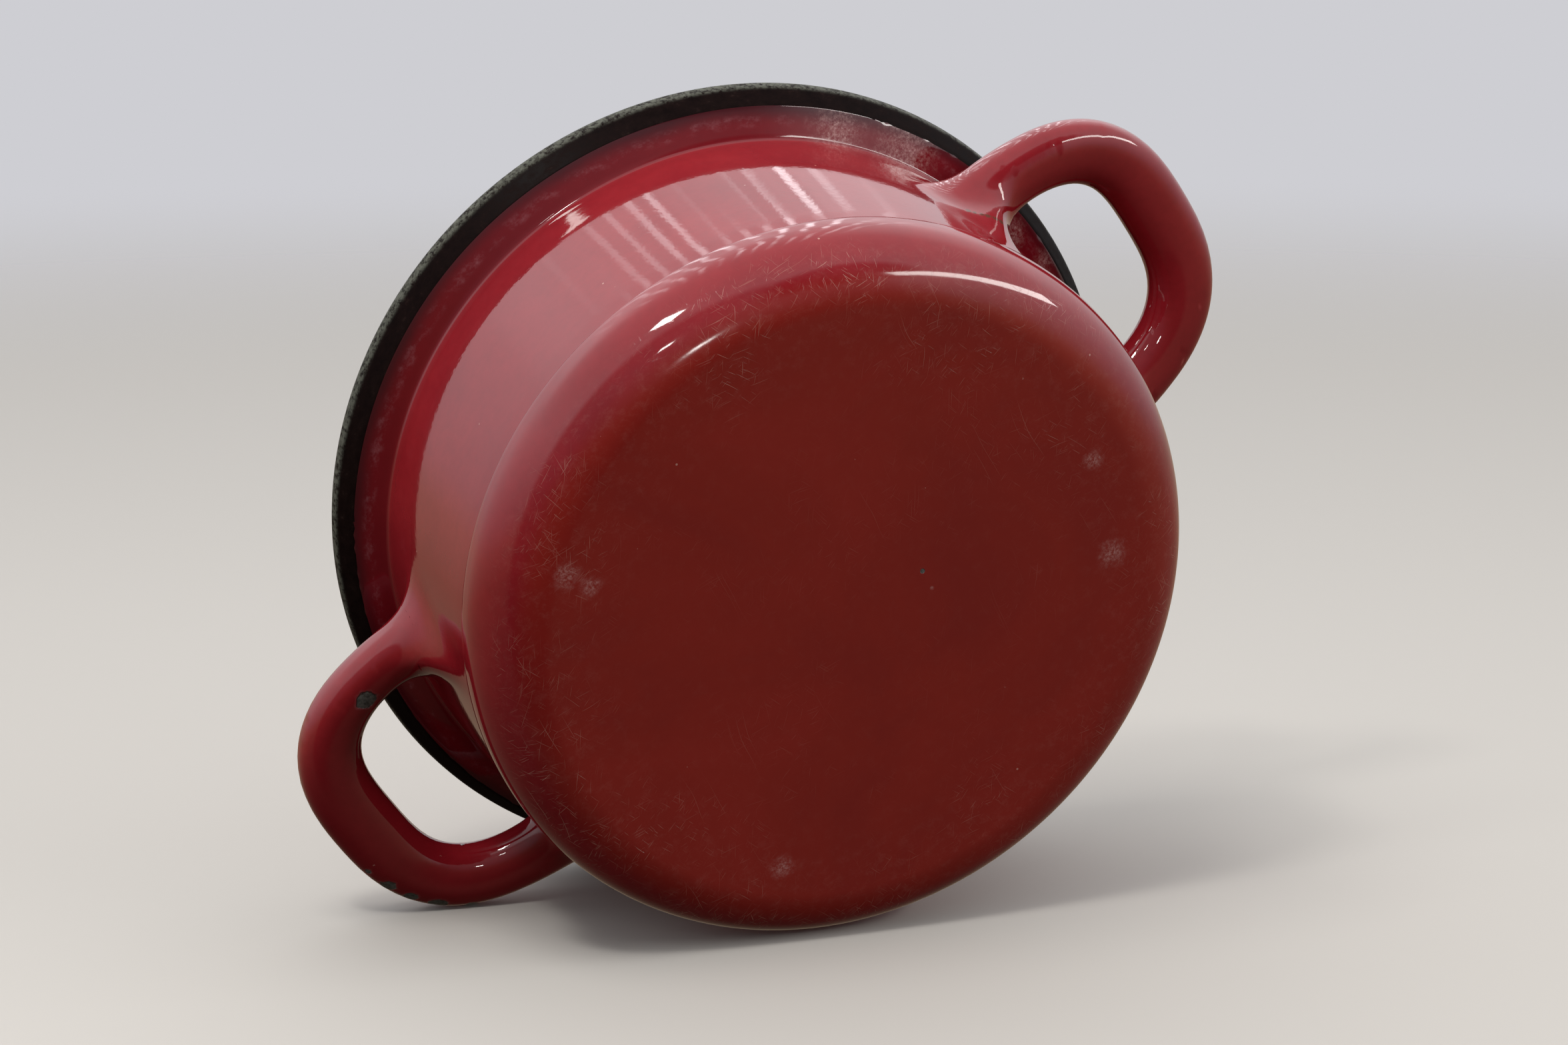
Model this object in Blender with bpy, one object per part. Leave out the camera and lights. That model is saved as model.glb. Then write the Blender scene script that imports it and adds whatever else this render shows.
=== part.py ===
"""Enamelled cast iron Dutch oven: a pot with two cast loop handles, and a lid with a screwed-on knob.

The pot stands upright on z = 0 with its axis on Z, and its handles lie along X. Units are metres.
The lid rests in the flared rim, and its origin and those of the pieces on it lie on the Z axis,
along which the lid lifts.
"""
import math

import bmesh
import bpy
from mathutils import Matrix, Vector

# Pot, outside
RIM_R = 0.115            # widest radius, at the lip
RIM_Z = 0.095            # height of that widest circle
POT_H = 0.097            # top of the lip
FLARE_R = 0.1018         # outside radius of the wall just under the flare
FLARE_Z = 0.0840         # height at which the wall turns out into the flare
LIP_R = 0.1090           # where the flare bends up into the lip
LIP_Z = 0.0890
BULGE_R = 0.0997         # widest radius of the foot
BULGE_Z = 0.0215         # top of the foot, where the wall steps in
STEP = 0.0015            # depth of that step
FOOT_ROUND = 0.0175      # rounding between the base and the foot

# Pot, inside
BASE_T = 0.005           # thickness of the base
WALL_T = 0.0044          # thickness of the wall
BOWL_ROUND = 0.016       # inside rounding between base and wall
SEAT_Z = 0.0910          # ledge that carries the lid
SEAT_R = 0.1060          # outer radius of the ledge
MOUTH_R = 0.1112         # inner radius of the lip at its top

# Loop handles
HANDLE_X = 0.092         # centre of the loop's curve, from the pot's axis
HANDLE_REACH = 0.138     # centre line of the far bar, from the pot's axis
HANDLE_HALF = 0.0385     # half the distance between the two arms
HANDLE_SQUARE = 2.8      # exponent of the superellipse that the loop follows
HANDLE_Z = 0.0635        # height of the bar at its roots
HANDLE_RISE = 0.005      # how much higher the far bar is
BAR_W = 0.0190           # width of the far bar, seen from above
ARM_W = 0.0160           # width of the two arms
BAR_H = 0.0135           # height of the bar
ROOT_GROWTH = 0.12       # how much the bar thickens into the wall

# Lid
GAP = 0.0003             # air between neighbouring solids
LID_R = 0.1053           # outer radius
LID_EDGE = 0.0040        # thickness of the edge
LID_T = 0.0042           # thickness of the dome
DOME_R = 0.0965          # radius at which the dome starts
DOME_H = 0.0125          # rise of the dome
SKIRT_IN = 0.0925        # locating ring under the lid
SKIRT_OUT = 0.0962
SKIRT_H = 0.0042
BOSS_R = 0.0150          # flat boss that carries the knob
SCREW_HOLE_R = 0.0033

# Knob and its fastening
KNOB_R = 0.0205
KNOB_FOOT_R = 0.0125
KNOB_WAIST_R = 0.0095
KNOB_H = 0.0300
INSERT_R = 0.0048
INSERT_L = 0.0140
SCREW_R = 0.0027
SCREW_HEAD_R = 0.0056
SCREW_HEAD_H = 0.0034
SCREW_REACH = 0.0110     # how far the screw goes into the insert
WASHER_R = 0.0080
WASHER_T = 0.0012
SPRING_R = 0.0052
SPRING_T = 0.0013

STEPS = 72               # segments in a large turned shape
BAR_SIDES = 14           # sides of the handles' bar
SMALL_STEPS = 32         # segments in a small one


def clear_scene():
    for obj in list(bpy.data.objects):
        bpy.data.objects.remove(obj, do_unlink=True)


def material(name, colour, roughness, metallic=0.0):
    mat = bpy.data.materials.new(name)
    mat.use_nodes = True
    shader = mat.node_tree.nodes["Principled BSDF"]
    shader.inputs["Base Color"].default_value = (*colour, 1.0)
    shader.inputs["Roughness"].default_value = roughness
    shader.inputs["Metallic"].default_value = metallic
    return mat


def add_object(name, bm, mat=None, smooth_angle=35.0):
    bmesh.ops.recalc_face_normals(bm, faces=bm.faces)
    mesh = bpy.data.meshes.new(name)
    bm.to_mesh(mesh)
    bm.free()
    mesh.shade_smooth()
    mesh.set_sharp_from_angle(angle=math.radians(smooth_angle))
    obj = bpy.data.objects.new(name, mesh)
    bpy.context.collection.objects.link(obj)
    if mat:
        mesh.materials.append(mat)
    return obj


def arc(r, z, radius, start, end, count):
    """Points on an arc in the (radius, height) plane, angles in degrees from +r towards +z."""
    angles = [start + (end - start) * i / count for i in range(count + 1)]
    return [(r + radius * math.cos(math.radians(a)), z + radius * math.sin(math.radians(a)))
            for a in angles]


def turned(name, profile, steps, mat=None, closed=False):
    """Turn a (radius, height) profile about Z. A closed profile makes a ring."""
    bm = bmesh.new()
    verts = [bm.verts.new((r, 0.0, z)) for r, z in profile]
    pairs = list(zip(verts, verts[1:]))
    if closed:
        pairs.append((verts[-1], verts[0]))
    edges = [bm.edges.new(pair) for pair in pairs]
    bmesh.ops.spin(bm, geom=verts + edges, axis=(0, 0, 1), cent=(0, 0, 0),
                   angle=math.tau, steps=steps, use_merge=True)
    bmesh.ops.remove_doubles(bm, verts=bm.verts, dist=1e-6)
    return add_object(name, bm, mat)


def boolean(obj, cutter, operation):
    cutter.hide_render = True
    cutter.display_type = "WIRE"
    mod = obj.modifiers.new(cutter.name, "BOOLEAN")
    mod.operation = operation
    mod.solver = "EXACT"
    mod.object = cutter


def pot_outside():
    base_r = BULGE_R - FOOT_ROUND
    profile = [(0.0, 0.0)]
    profile += arc(base_r, FOOT_ROUND, FOOT_ROUND, -90, 0, 8)
    profile += [(BULGE_R, BULGE_Z - 0.001), (BULGE_R - 0.0004, BULGE_Z)]
    profile += [(BULGE_R - STEP, BULGE_Z + 0.0006)]
    profile += [(FLARE_R, FLARE_Z), (LIP_R, LIP_Z), (RIM_R - 0.0008, RIM_Z - 0.0025)]
    profile += [(RIM_R, RIM_Z), (RIM_R - 0.0006, POT_H - 0.0006), (RIM_R - 0.0018, POT_H)]
    profile += [(0.0, POT_H)]
    return profile


def pot_inside():
    """The bowl, the lid's ledge and the mouth, as a cutter that runs out past the top."""
    top_r = FLARE_R - WALL_T
    low_r = BULGE_R - STEP - WALL_T
    profile = [(0.0, BASE_T)]
    profile += arc(low_r - BOWL_ROUND, BASE_T + BOWL_ROUND, BOWL_ROUND, -90, 0, 7)
    profile += [(top_r, SEAT_Z - 0.0012), (top_r + 0.0012, SEAT_Z), (SEAT_R, SEAT_Z)]
    profile += [(MOUTH_R, POT_H - 0.0012), (MOUTH_R + 0.0012, POT_H), (MOUTH_R + 0.0012, POT_H + 0.01)]
    profile += [(0.0, POT_H + 0.01)]
    return profile


def loop_point(t):
    """Centre line of the +X handle: t runs from -1 at one root, through 0 at the far bar, to 1."""
    angle = t * math.pi / 2
    power = 2.0 / HANDLE_SQUARE
    out = max(math.cos(angle), 0.0) ** power
    side = math.copysign(abs(math.sin(angle)) ** power, t)
    x = HANDLE_X + (HANDLE_REACH - HANDLE_X) * out
    return Vector((x, HANDLE_HALF * side, HANDLE_Z + HANDLE_RISE * out))


def bar_section(centre, along, width, height):
    """A ring of points around the bar, which is oval."""
    side = along.cross(Vector((0, 0, 1))).normalized()
    ring = []
    for i in range(BAR_SIDES):
        a = math.tau * i / BAR_SIDES
        ring.append(centre + side * (width / 2 * math.cos(a)) + Vector((0, 0, height / 2 * math.sin(a))))
    return ring


def handle(name, sign):
    """One loop handle, with both arms run on into the wall."""
    count = 24
    ts = [math.sin(math.pi / 2 * (-1 + 2 * i / count)) for i in range(count + 1)]
    path = [loop_point(t) for t in ts]
    buried = 0.012
    path = [path[0] - Vector((buried, 0, 0))] + path + [path[-1] - Vector((buried, 0, 0))]
    bm = bmesh.new()
    rings = []
    for i, centre in enumerate(path):
        before = path[max(i - 1, 0)]
        after = path[min(i + 1, len(path) - 1)]
        near = max(0.0, 1 - (centre.x - HANDLE_X) / 0.022)
        scale = 1 + ROOT_GROWTH * min(near, 1.0) ** 1.5
        far = max(0.0, 1 - (centre.y / HANDLE_HALF) ** 2)
        width = (ARM_W + (BAR_W - ARM_W) * far) * scale
        points = bar_section(centre, (after - before).normalized(), width, BAR_H * scale)
        rings.append([bm.verts.new((p.x * sign, p.y * sign, p.z)) for p in points])
    for a, b in zip(rings, rings[1:]):
        for i in range(BAR_SIDES):
            j = (i + 1) % BAR_SIDES
            bm.faces.new((a[i], a[j], b[j], b[i]))
    bm.faces.new(rings[0])
    bm.faces.new(rings[-1])
    return add_object(name, bm)


def gusset(name, sign_x, sign_y):
    """The tapered web under one arm, from the bar down the wall to the foot."""
    wall_slope = (FLARE_R - BULGE_R + STEP) / (FLARE_Z - BULGE_Z)
    top_z = HANDLE_Z + 0.002
    low_z = BULGE_Z + 0.003
    bm = bmesh.new()
    rings = []
    for z, half, proud in ((top_z, 0.0085, 0.0130), ((top_z + low_z) / 2, 0.0070, 0.0052),
                           (low_z, 0.0045, 0.0006)):
        wall_r = BULGE_R - STEP + (z - BULGE_Z) * wall_slope
        ring = []
        for side in (-1, -0.6, 0.6, 1):
            y = HANDLE_HALF + side * half
            x = math.sqrt(wall_r ** 2 - y ** 2)
            x += proud if abs(side) < 1 else -0.001
            ring.append(bm.verts.new((x * sign_x, y * sign_y, z)))
        for y in (HANDLE_HALF + half, HANDLE_HALF - half):
            x = math.sqrt(wall_r ** 2 - y ** 2) - 0.003
            ring.append(bm.verts.new((x * sign_x, y * sign_y, z)))
        rings.append(ring)
    for a, b in zip(rings, rings[1:]):
        for i in range(6):
            j = (i + 1) % 6
            bm.faces.new((a[i], a[j], b[j], b[i]))
    bm.faces.new(rings[0])
    bm.faces.new(rings[-1])
    bmesh.ops.triangulate(bm, faces=bm.faces)
    return add_object(name, bm)


def build_pot(mat):
    pot = turned("pot_body", pot_outside(), STEPS, mat)
    for label, sign in (("right", 1), ("left", -1)):
        boolean(pot, handle("handle_" + label, sign), "UNION")
        for side in (1, -1):
            name = "gusset_%s_%s" % (label, "back" if side > 0 else "front")
            boolean(pot, gusset(name, sign, side), "UNION")
    boolean(pot, turned("bowl_cutter", pot_inside(), STEPS), "DIFFERENCE")
    return pot


def dome_z(r, offset):
    """Height of the dome's top surface over the lid's edge at radius r, moved down by offset."""
    t = min(max((r - BOSS_R) / (DOME_R - BOSS_R), 0.0), 1.0)
    return SEAT_Z + GAP + LID_EDGE + DOME_H * (1 - t ** 2.2) - offset


def build_lid(mat):
    bottom = SEAT_Z + GAP
    top = bottom + LID_EDGE
    radii = [BOSS_R + (DOME_R - BOSS_R) * i / 9 for i in range(10)]
    inner = [r for r in radii if r < SKIRT_IN - 0.004]
    boss_top = dome_z(0, 0) + 0.0008
    boss_low = dome_z(0, LID_T)
    profile = [(SCREW_HOLE_R, boss_low)]
    profile += [(r, dome_z(r, LID_T)) for r in inner]
    profile += [(SKIRT_IN - 0.001, bottom), (SKIRT_IN, bottom - SKIRT_H), (SKIRT_OUT, bottom - SKIRT_H)]
    profile += [(SKIRT_OUT, bottom), (LID_R - 0.0006, bottom), (LID_R, bottom + 0.0008)]
    profile += [(LID_R, top - 0.0016), (LID_R - 0.0012, top - 0.0003), (LID_R - 0.0030, top)]
    profile += [(r, dome_z(r, 0)) for r in reversed(radii[1:])]
    profile += [(BOSS_R + 0.001, dome_z(BOSS_R, 0)), (BOSS_R, boss_top), (SCREW_HOLE_R, boss_top)]
    return turned("lid", profile, STEPS, mat, closed=True), boss_low, boss_top


def build_knob(mat, foot_z):
    """Mushroom knob with a pocket in its foot for the insert."""
    pocket_r = INSERT_R + GAP
    pocket_z = foot_z + INSERT_L + 2 * GAP
    crown_z = foot_z + KNOB_H
    profile = [(pocket_r, foot_z), (KNOB_FOOT_R - 0.0006, foot_z), (KNOB_FOOT_R, foot_z + 0.0008)]
    profile += [(KNOB_FOOT_R - 0.0008, foot_z + 0.0030), (KNOB_WAIST_R + 0.0006, foot_z + 0.0060)]
    profile += [(KNOB_WAIST_R, foot_z + 0.0095), (KNOB_WAIST_R + 0.0012, foot_z + 0.0130)]
    profile += [(KNOB_WAIST_R + 0.0055, foot_z + 0.0160)]
    profile += arc(KNOB_R - 0.0045, crown_z - 0.0075, 0.0045, -60, 70, 6)
    profile += [(0.0110, crown_z - 0.0011), (0.0055, crown_z - 0.0003), (0.0, crown_z)]
    profile = [(0.0, pocket_z), (pocket_r, pocket_z)] + profile
    return turned("lid_knob", profile, 48, mat)


def build_insert(mat, foot_z):
    """Knurled brass insert with a blind bore, open below."""
    low = foot_z + GAP
    high = low + INSERT_L
    bore_r = SCREW_R + GAP
    groove = 0.0005
    profile = [(0.0, high - 0.0015), (bore_r, high - 0.0015), (bore_r, low), (INSERT_R, low)]
    profile += [(INSERT_R, low + 0.0045), (INSERT_R - groove, low + 0.0050)]
    profile += [(INSERT_R - groove, low + 0.0075), (INSERT_R, low + 0.0080)]
    profile += [(INSERT_R, high), (0.0, high)]
    return turned("knob_insert", profile, SMALL_STEPS, mat)


def build_washers(flat_mat, spring_mat, under_z):
    """Flat washer against the lid, and a split washer under it."""
    high = under_z - GAP
    bore = SCREW_R + GAP
    flat = [(bore, high - WASHER_T), (WASHER_R - 0.0002, high - WASHER_T), (WASHER_R, high - 0.001)]
    flat += [(WASHER_R, high - 0.0002), (WASHER_R - 0.0002, high), (bore, high)]
    turned("knob_washer", flat, SMALL_STEPS, flat_mat, closed=True)
    high -= WASHER_T + GAP
    low = high - SPRING_T
    ring = [(bore, low), (SPRING_R, low), (SPRING_R, high), (bore, high)]
    spring = turned("spring_washer", ring, SMALL_STEPS, spring_mat, closed=True)
    slot = bmesh.new()
    bmesh.ops.create_cube(slot, size=1.0)
    bmesh.ops.scale(slot, vec=(SPRING_R, 0.0008, 4 * SPRING_T), verts=slot.verts)
    tilt = Matrix.Rotation(math.radians(25), 3, "X")
    bmesh.ops.rotate(slot, matrix=tilt, cent=(0, 0, 0), verts=slot.verts)
    bmesh.ops.translate(slot, vec=(SPRING_R / 2 + 0.001, 0, (low + high) / 2), verts=slot.verts)
    boolean(spring, add_object("split_cutter", slot), "DIFFERENCE")
    return low


def build_screw(mat, head_top, foot_z):
    """Pan-head screw, head down, with a straight slot."""
    low = head_top - SCREW_HEAD_H
    tip = foot_z + GAP + SCREW_REACH
    profile = [(0.0, low), (SCREW_HEAD_R * 0.55, low + 0.0003), (SCREW_HEAD_R * 0.85, low + 0.0012)]
    profile += [(SCREW_HEAD_R, low + 0.0024), (SCREW_HEAD_R, head_top), (SCREW_R, head_top)]
    profile += [(SCREW_R, tip - 0.0008), (SCREW_R - 0.0006, tip), (0.0, tip)]
    screw = turned("knob_screw", profile, SMALL_STEPS, mat)
    slot = bmesh.new()
    bmesh.ops.create_cube(slot, size=1.0)
    bmesh.ops.scale(slot, vec=(3 * SCREW_HEAD_R, 0.0012, 0.0030), verts=slot.verts)
    bmesh.ops.translate(slot, vec=(0, 0, low), verts=slot.verts)
    boolean(screw, add_object("slot_cutter", slot), "DIFFERENCE")


def main():
    clear_scene()
    enamel = material("burgundy_enamel", (0.17, 0.016, 0.022), 0.12)
    phenolic = material("black_phenolic", (0.012, 0.012, 0.013), 0.35)
    brass = material("brass", (0.72, 0.53, 0.24), 0.35, 1.0)
    steel = material("zinc_steel", (0.62, 0.62, 0.60), 0.35, 1.0)
    build_pot(enamel)
    _, under_z, boss_z = build_lid(enamel)
    foot_z = boss_z + GAP
    build_knob(phenolic, foot_z)
    build_insert(brass, foot_z)
    head_top = build_washers(steel, steel, under_z) - GAP
    build_screw(steel, head_top, foot_z)


main()
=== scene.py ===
"""Looks for the enamelled cast iron Dutch oven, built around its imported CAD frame.

The pot, the lid and the knob are rebuilt as fine meshes on the part's driving dimensions, apart
from the pot's flare, which follows the photograph a little more closely. Every surface gets a
procedural material. The pot stands upright in this frame; in the photographed pose it lies on its
side, on the plane that TABLE_UP describes.
"""
import math

import bmesh
import bpy
import numpy as np
from mathutils import Matrix, Vector


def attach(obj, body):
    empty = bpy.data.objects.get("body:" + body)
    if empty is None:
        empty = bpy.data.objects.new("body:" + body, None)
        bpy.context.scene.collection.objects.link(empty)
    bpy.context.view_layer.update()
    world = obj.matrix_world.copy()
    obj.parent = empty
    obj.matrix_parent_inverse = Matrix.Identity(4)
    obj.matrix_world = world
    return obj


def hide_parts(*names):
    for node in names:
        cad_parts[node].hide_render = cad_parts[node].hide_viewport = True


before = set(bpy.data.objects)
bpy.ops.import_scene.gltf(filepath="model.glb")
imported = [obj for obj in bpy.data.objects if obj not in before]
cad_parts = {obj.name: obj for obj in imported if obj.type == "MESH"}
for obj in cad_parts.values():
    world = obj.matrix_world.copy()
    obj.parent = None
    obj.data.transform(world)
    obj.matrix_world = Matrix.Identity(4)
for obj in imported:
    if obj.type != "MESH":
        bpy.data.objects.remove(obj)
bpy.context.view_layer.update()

# Driving dimensions in metres, the part's own but for FLARE_Z, RIDGE_R and RIDGE_Z
RIM_R, RIM_Z, POT_H = 0.115, 0.095, 0.097
FLARE_R, FLARE_Z, RIDGE_R, RIDGE_Z = 0.1018, 0.0848, 0.1106, 0.0882
BULGE_R, BULGE_Z, STEP, FOOT_ROUND = 0.0997, 0.0215, 0.0015, 0.0175
BASE_T, WALL_T, BOWL_ROUND = 0.005, 0.0044, 0.016
SEAT_Z, SEAT_R, MOUTH_R = 0.0910, 0.1060, 0.1112
HANDLE_X, HANDLE_REACH, HANDLE_HALF, HANDLE_SQUARE = 0.092, 0.138, 0.0385, 2.8
HANDLE_Z, HANDLE_RISE, BAR_W, BAR_H, ROOT_GROWTH = 0.0635, 0.005, 0.0190, 0.0135, 0.12
GAP, LID_R, LID_EDGE, LID_T, DOME_R, DOME_H = 0.0003, 0.1053, 0.0040, 0.0042, 0.0965, 0.0125
SKIRT_IN, SKIRT_OUT, SKIRT_H, BOSS_R, SCREW_HOLE_R = 0.0925, 0.0962, 0.0042, 0.0150, 0.0033
KNOB_R, KNOB_FOOT_R, KNOB_WAIST_R, KNOB_H = 0.0205, 0.0125, 0.0095, 0.0300
INSERT_R, INSERT_L = 0.0048, 0.0140

# Widths of the cast arms, at y below and above 0 as the handle's own axes see them
ARMS = {"right": (0.0167, 0.0180), "left": (0.0166, 0.0140)}
BAR_SQUARE = 2.4         # exponent of the bar's section, 2 for an oval
FILLET = 0.0095          # reach of the blend between a handle and the pot
WEB_PROUD = 0.0115       # how far the web under an arm stands off the wall at the bar
WEB_LOW_Z = 0.0235       # where the web has run out, above the foot
SLIVER = 0.00045         # vertices of a handle's joint that lie closer than this are merged
SMOOTH_ROUNDS = 8        # how often a joint's vertices are evened out
SKIN = 0.0015            # the outside surface reaches this far under the wall's profile
NUDGE = 0.00002          # step for measuring the blend's slope, and how near counts as on it

# The photographed pose: which way is up, and where the camera stands
TABLE_UP = Vector((0.5874, -0.7867, 0.1900)).normalized()
TABLE_DISTANCE = 0.0949
CAMERA_AIM = Vector((0.0019, -0.0044, 0.0504))
CAMERA_DISTANCE = 0.9425
CAMERA_AZIMUTH, CAMERA_ELEVATION, CAMERA_ROLL = -7.20, -59.30, -44.15
CAMERA_LENS = 80.0


# ---------------------------------------------------------------- shapes

def rounded(corners):
    """A (radius, height) path through corners, each (radius, height, rounding, spacing up to it)."""
    path = []
    for i, (r, z, rounding, _) in enumerate(corners):
        p = np.array((r, z))
        if rounding == 0:
            path.append([p])
            continue
        a, b = (np.array(corners[j][:2]) - p for j in (i - 1, i + 1))
        len_a, len_b = np.linalg.norm(a), np.linalg.norm(b)
        a, b = a / len_a, b / len_b
        half = math.acos(np.clip(a @ b, -1, 1)) / 2
        cut = min(rounding / math.tan(half), 0.9 * len_a, 0.9 * len_b)
        radius = cut * math.tan(half)
        centre = p + (a + b) / np.linalg.norm(a + b) * radius / math.sin(half)
        s, e = p + a * cut - centre, p + b * cut - centre
        turn = math.pi - 2 * half
        count = max(3, math.ceil(turn * radius / 0.0012))
        steps = np.linspace(0, 1, count + 1)
        path.append([centre + (s * math.sin((1 - t) * turn) + e * math.sin(t * turn)) / math.sin(turn)
                     for t in steps])
    points = [path[0][-1]]
    for i in range(1, len(path)):
        start, end = points[-1], path[i][0]
        count = max(1, math.ceil(np.linalg.norm(end - start) / corners[i][3]))
        points += [start + (end - start) * k / count for k in range(1, count + 1)]
        points += path[i][1:]
    return np.array(points)


def lathe(profile, columns, closed=False):
    """Vertices and faces of a (radius, height) profile turned about Z, from poles or as a ring."""
    angles = np.arange(columns) * math.tau / columns
    cos, sin = np.cos(angles), np.sin(angles)
    rows, verts, faces = [], [], []
    for r, z in profile:
        if r < 1e-7:
            rows.append([len(verts)] * columns)
            verts.append((0.0, 0.0, z))
        else:
            rows.append(range(len(verts), len(verts) + columns))
            verts += list(zip(r * cos, r * sin, [z] * columns))
    pairs = list(zip(rows, rows[1:]))
    if closed:
        pairs.append((rows[-1], rows[0]))
    for a, b in pairs:
        for i in range(columns):
            j = (i + 1) % columns
            corners = (a[i], a[j], b[j], b[i])
            faces.append(tuple(dict.fromkeys(corners)))
    return verts, faces


def mesh_object(name, verts, faces):
    mesh = bpy.data.meshes.new(name)
    mesh.from_pydata(verts, [], faces)
    mesh.shade_smooth()
    obj = bpy.data.objects.new(name, mesh)
    bpy.context.scene.collection.objects.link(obj)
    return obj


def pot_outside():
    return rounded([
        (0, 0, 0, 1), (BULGE_R, 0, FOOT_ROUND, 0.006), (BULGE_R, BULGE_Z, 0.0007, 0.002),
        (BULGE_R - STEP, BULGE_Z + 0.0005, 0.0010, 0.0005),
        (FLARE_R, FLARE_Z, 0.0014, 0.0016), (RIDGE_R, RIDGE_Z, 0.0012, 0.0012),
        (RIM_R - 0.0006, RIM_Z - 0.0022, 0.0030, 0.0012),
        (RIM_R, POT_H, 0.0014, 0.0008), (MOUTH_R + 0.0010, POT_H, 0, 0.0008)])


def pot_inside():
    top_r, low_r = FLARE_R - WALL_T, BULGE_R - STEP - WALL_T
    return rounded([
        (MOUTH_R + 0.0010, POT_H, 0, 1), (MOUTH_R, POT_H - 0.0012, 0.0010, 0.0005),
        (SEAT_R, SEAT_Z, 0.0014, 0.0015), (top_r + 0.0006, SEAT_Z, 0.0012, 0.0025),
        (low_r, BASE_T, BOWL_ROUND, 0.0040), (0, BASE_T, 0, 0.0080)])


OUTSIDE = pot_outside()
WALL = OUTSIDE[(OUTSIDE[:, 1] > 0.0002) & (OUTSIDE[:, 1] < RIM_Z)]


def wall_radius(z):
    return np.interp(z, WALL[:, 1], WALL[:, 0])


def loop_line(count):
    """Centre line of a handle in its own axes, from the arm at y below 0 to the other."""
    t = np.sin(np.linspace(-1, 1, count) * math.pi / 2) * math.pi / 2
    power = 2 / HANDLE_SQUARE
    out = np.clip(np.cos(t), 0, 1) ** power
    side = np.sign(t) * np.abs(np.sin(t)) ** power
    line = np.stack([HANDLE_X + (HANDLE_REACH - HANDLE_X) * out, HANDLE_HALF * side,
                     HANDLE_Z + HANDLE_RISE * out], 1)
    buried = line[[0, -1]] - (0.012, 0, 0)
    return np.concatenate([buried[:1], line, buried[1:]])


def bar_size(points, arms):
    """Half width and half height of the bar at points on its centre line."""
    across = np.clip(points[:, 1] / HANDLE_HALF, -1, 1)
    arm = arms[0] + (arms[1] - arms[0]) * (across + 1) / 2
    near = np.clip(1 - (points[:, 0] - HANDLE_X) / 0.022, 0, 1)
    grow = 1 + ROOT_GROWTH * near ** 1.5
    return (arm + (BAR_W - arm) * (1 - across ** 2)) * grow / 2, BAR_H * grow / 2


def handle_mesh(name, sign, arms):
    """One loop as a tube that ends in the middle of the pot's wall."""
    sides = 56
    line = loop_line(110)
    along = np.gradient(line, axis=0)
    along /= np.linalg.norm(along, axis=1)[:, None]
    side = np.cross(along, (0, 0, 1))
    side /= np.linalg.norm(side, axis=1)[:, None]
    half_w, half_h = bar_size(line, arms)
    angle = np.arange(sides) * math.tau / sides
    cos, sin = (np.sign(v) * np.abs(v) ** (2 / BAR_SQUARE) for v in (np.cos(angle), np.sin(angle)))
    rings = [line[:, None] + side[:, None] * (half_w[:, None] * cos)[..., None]
             + np.array((0, 0, 1.0)) * (half_h[:, None] * sin)[..., None]]
    for end, place in ((0, 0), (-1, len(line))):
        caps = [line[end] + (rings[0][end] - line[end]) * s for s in (0.66, 0.33)]
        rings = [np.insert(rings[0], [place] * 2, caps[::-1] if end == 0 else caps, axis=0)]
    grid = rings[0]
    count = len(grid)
    points = np.concatenate([grid.reshape(-1, 3), line[[0, -1]]])
    middle = wall_radius(points[:, 2]) - WALL_T / 2
    nearest = np.sqrt(np.maximum(middle ** 2 - points[:, 1] ** 2, 0))
    points[:, 0] = np.maximum(points[:, 0], nearest)
    points[:, :2] *= sign
    faces = []
    for i in range(count - 1):
        for k in range(sides):
            m = (k + 1) % sides
            faces.append((i * sides + k, (i + 1) * sides + k, (i + 1) * sides + m, i * sides + m))
    for row, pole in ((0, count * sides), (count - 1, count * sides + 1)):
        for k in range(sides):
            m = (k + 1) % sides
            faces.append((row * sides + k, row * sides + m, pole) if row == 0
                         else (row * sides + m, row * sides + k, pole))
    return mesh_object(name, points.tolist(), faces)


def pot_distance(p):
    """Distance to the pot's outside with its four webs, in a handle's own axes."""
    r = np.hypot(p[:, 0], p[:, 1])
    z = p[:, 2]
    span = np.clip((z - WEB_LOW_Z) / (HANDLE_Z + 0.002 - WEB_LOW_Z), 0, 1)
    proud = WEB_PROUD * span ** 2 * np.clip((0.072 - z) / 0.009, 0, 1)
    across = np.abs(np.abs(p[:, 1]) - HANDLE_HALF) / (0.0034 + 0.0052 * span)
    lean = np.clip((z - FLARE_Z) / 0.002, 0, 1) * 0.45
    return (r - wall_radius(z) - proud * np.exp(-across ** 2)) * (1 - lean)


def bar_distance(p, line, arms):
    """Distance to a handle's bar, which has an oval section, in the handle's own axes."""
    a, b = line[:-1], line[1:]
    ab = b - a
    length = (ab ** 2).sum(1)
    best = np.full(len(p), np.inf)
    foot = np.zeros_like(p)
    along = np.zeros_like(p)
    for i in range(len(a)):
        t = np.clip((p - a[i]) @ ab[i] / length[i], 0, 1)
        q = a[i] + t[:, None] * ab[i]
        d = ((p - q) ** 2).sum(1)
        near = d < best
        best[near], foot[near], along[near] = d[near], q[near], ab[i]
    side = np.cross(along, (0, 0, 1))
    side /= np.linalg.norm(side, axis=1)[:, None]
    half_w, half_h = bar_size(foot, arms)
    s, u = ((p - foot) * side).sum(1), p[:, 2] - foot[:, 2]
    s, u = np.abs(s) / half_w, np.abs(u) / half_h
    whole = (s ** BAR_SQUARE + u ** BAR_SQUARE) ** (1 / BAR_SQUARE) + 1e-9
    slope = np.hypot((s / whole) ** (BAR_SQUARE - 1) / half_w,
                     (u / whole) ** (BAR_SQUARE - 1) / half_h) + 1e-9
    return (whole - 1) / slope


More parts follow.
